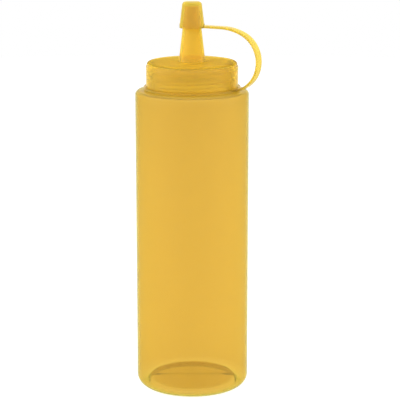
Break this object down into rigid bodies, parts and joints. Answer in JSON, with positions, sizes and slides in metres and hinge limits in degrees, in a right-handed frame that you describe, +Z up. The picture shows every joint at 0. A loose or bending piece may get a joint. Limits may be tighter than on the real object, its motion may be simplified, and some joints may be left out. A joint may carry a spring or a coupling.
{
  "type": "condiment squeeze bottle",
  "caption": "Empty translucent squeeze bottle with a screw cap, a cone nozzle and a tethered tip cap, standing upright on its foot.",
  "frame": {"origin": "centre of the foot ring, on the surface that the bottle stands on", "axes": "+Z up along the bottle's axis to the tip cap, +X from the axis towards the strap's loop, +Y across the strap"},
  "size_m": [0.081, 0.07, 0.2428],
  "materials": {
    "blown_plastic": "satin, translucent",
    "cap_plastic": "satin, translucent",
    "tether_plastic": "satin, translucent"
  },
  "bodies": {
    "root": {"bottle": "blown_plastic", "screw_cap": "cap_plastic", "tether": "tether_plastic"}
  },
  "joints": []
}
